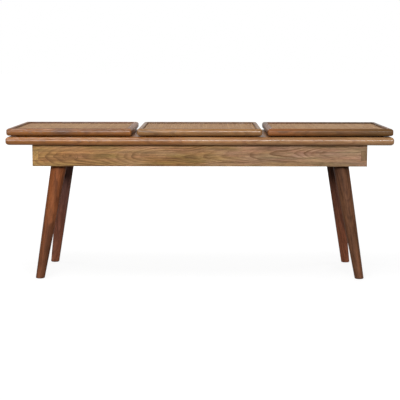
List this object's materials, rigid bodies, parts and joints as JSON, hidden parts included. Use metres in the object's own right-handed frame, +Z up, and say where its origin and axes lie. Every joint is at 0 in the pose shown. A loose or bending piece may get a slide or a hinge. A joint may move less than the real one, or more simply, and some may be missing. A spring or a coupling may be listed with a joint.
{
  "type": "bench",
  "caption": "Hall bench with a bullnosed wooden top, hinged woven-cane lids over shallow compartments and splayed tapered legs.",
  "frame": {"origin": "on the floor, under the middle of the top", "axes": "+X along the bench to the right, +Y to the back where the lids hinge, +Z up"},
  "size_m": [1.1464, 0.38, 0.455],
  "materials": {
    "wood_top": "chestnut stain, satin lacquer",
    "wood_lid": "chestnut stain, satin lacquer",
    "wood_box": "natural, clear satin lacquer",
    "wood_inner": "bare sanded",
    "wood_leg": "dark chestnut stain, satin lacquer",
    "cane": "natural woven cane",
    "brass": "aged, brushed",
    "steel": "zinc plated",
    "felt": "brown felt"
  },
  "bodies": {
    "carcass": {"box_back_board": "wood_box", "box_bottom_panel": "wood_inner", "box_divider_left": "wood_inner", "box_divider_right": "wood_inner", "box_end_board_left": "wood_box", "box_end_board_right": "wood_box", "box_front_board": "wood_box", "cleat_screws": "steel", "hinge_frame_leaves_left": "brass", "hinge_frame_leaves_middle": "brass", "hinge_frame_leaves_right": "brass", "hinge_frame_screws": "brass", "hinge_pins_left": "brass", "hinge_pins_middle": "brass", "hinge_pins_right": "brass", "leg_back_left": "wood_leg", "leg_back_right": "wood_leg", "leg_bolts": "steel", "leg_cleat_left": "wood_inner", "leg_cleat_right": "wood_inner", "leg_front_left": "wood_leg", "leg_front_right": "wood_leg", "leg_inserts": "steel", "top_back_rail": "wood_top", "top_cross_rail_left": "wood_top", "top_cross_rail_right": "wood_top", "top_dowels": "wood_inner", "top_end_rail_left": "wood_top", "top_end_rail_right": "wood_top", "top_front_rail": "wood_top"},
    "lid_left": {"lid_left_back_rail": "wood_lid", "lid_left_backing_board": "wood_inner", "lid_left_bumpers": "felt", "lid_left_cane_panel": "cane", "lid_left_front_rail": "wood_lid", "lid_left_hinge_leaves": "brass", "lid_left_hinge_screws": "brass", "lid_left_left_stile": "wood_lid", "lid_left_right_stile": "wood_lid"},
    "lid_middle": {"lid_middle_back_rail": "wood_lid", "lid_middle_backing_board": "wood_inner", "lid_middle_bumpers": "felt", "lid_middle_cane_panel": "cane", "lid_middle_front_rail": "wood_lid", "lid_middle_hinge_leaves": "brass", "lid_middle_hinge_screws": "brass", "lid_middle_left_stile": "wood_lid", "lid_middle_right_stile": "wood_lid"},
    "lid_right": {"lid_right_back_rail": "wood_lid", "lid_right_backing_board": "wood_inner", "lid_right_bumpers": "felt", "lid_right_cane_panel": "cane", "lid_right_front_rail": "wood_lid", "lid_right_hinge_leaves": "brass", "lid_right_hinge_screws": "brass", "lid_right_left_stile": "wood_lid", "lid_right_right_stile": "wood_lid"}
  },
  "joints": [
    {"name": "lid_left_hinge", "type": "hinge", "parent": "carcass", "child": "lid_left", "pos_m": [-0.3859, 0.1823, 0.4321], "axis": [-1, 0, 0], "range_deg": [0, 100]},
    {"name": "lid_middle_hinge", "type": "hinge", "parent": "carcass", "child": "lid_middle", "pos_m": [0, 0.1823, 0.4321], "axis": [-1, 0, 0], "range_deg": [0, 100]},
    {"name": "lid_right_hinge", "type": "hinge", "parent": "carcass", "child": "lid_right", "pos_m": [0.3859, 0.1823, 0.4321], "axis": [-1, 0, 0], "range_deg": [0, 100]}
  ]
}
